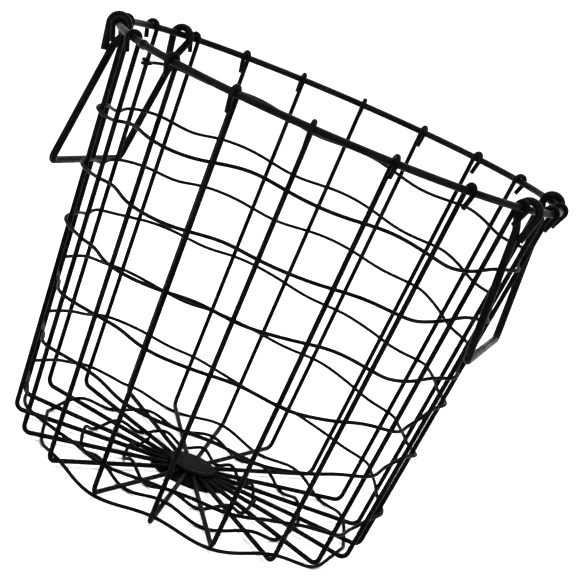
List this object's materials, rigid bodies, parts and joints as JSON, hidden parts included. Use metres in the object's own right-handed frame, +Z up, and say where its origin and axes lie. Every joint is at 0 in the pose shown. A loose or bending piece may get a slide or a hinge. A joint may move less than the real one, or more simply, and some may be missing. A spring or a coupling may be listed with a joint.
{
  "type": "egg collection basket",
  "caption": "Round tapered basket of black wire, with ribs hooked over a rim ring, a loosely wound weft, a plate hub and a swinging drop handle on each side.",
  "frame": {"origin": "the middle of the surface the basket stands on, under the centre of the hub", "axes": "+Z up along the basket's axis; +X to the right handle and -X to the left handle; -Y is the front, the side that the picture looks at"},
  "size_m": [0.3086, 0.3078, 0.2667],
  "materials": {
    "rim_wire": "satin",
    "rib_wire": "satin",
    "weft_wire": "satin",
    "hub_plate": "satin",
    "handle_wire": "satin"
  },
  "bodies": {
    "basket": {"rim_ring": "rim_wire", "hub_plate_lower": "hub_plate", "hub_plate_upper": "hub_plate", "rib_01": "rib_wire", "rib_02": "rib_wire", "rib_03": "rib_wire", "rib_04": "rib_wire", "rib_05": "rib_wire", "rib_06": "rib_wire", "rib_07": "rib_wire", "rib_08": "rib_wire", "rib_09": "rib_wire", "rib_10": "rib_wire", "rib_11": "rib_wire", "rib_12": "rib_wire", "rib_13": "rib_wire", "rib_14": "rib_wire", "rib_15": "rib_wire", "rib_16": "rib_wire", "rib_17": "rib_wire", "rib_18": "rib_wire", "rib_19": "rib_wire", "rib_20": "rib_wire", "weft_turn_1": "weft_wire", "weft_turn_2": "weft_wire", "weft_turn_3": "weft_wire", "weft_turn_4": "weft_wire", "weft_turn_5": "weft_wire", "weft_turn_6": "weft_wire", "weft_turn_7": "weft_wire", "weft_turn_8": "weft_wire", "weft_turn_9": "weft_wire"},
    "left_handle": {"handle_left": "handle_wire"},
    "right_handle": {"handle_right": "handle_wire"}
  },
  "joints": [
    {"name": "left_handle_swing", "type": "hinge", "parent": "basket", "child": "left_handle", "pos_m": [-0.13936, 0, 0.25793], "axis": [0, 1, 0], "range_deg": [0, 325]},
    {"name": "right_handle_swing", "type": "hinge", "parent": "basket", "child": "right_handle", "pos_m": [0.13936, 0, 0.25793], "axis": [0, -1, 0], "range_deg": [0, 325]}
  ]
}
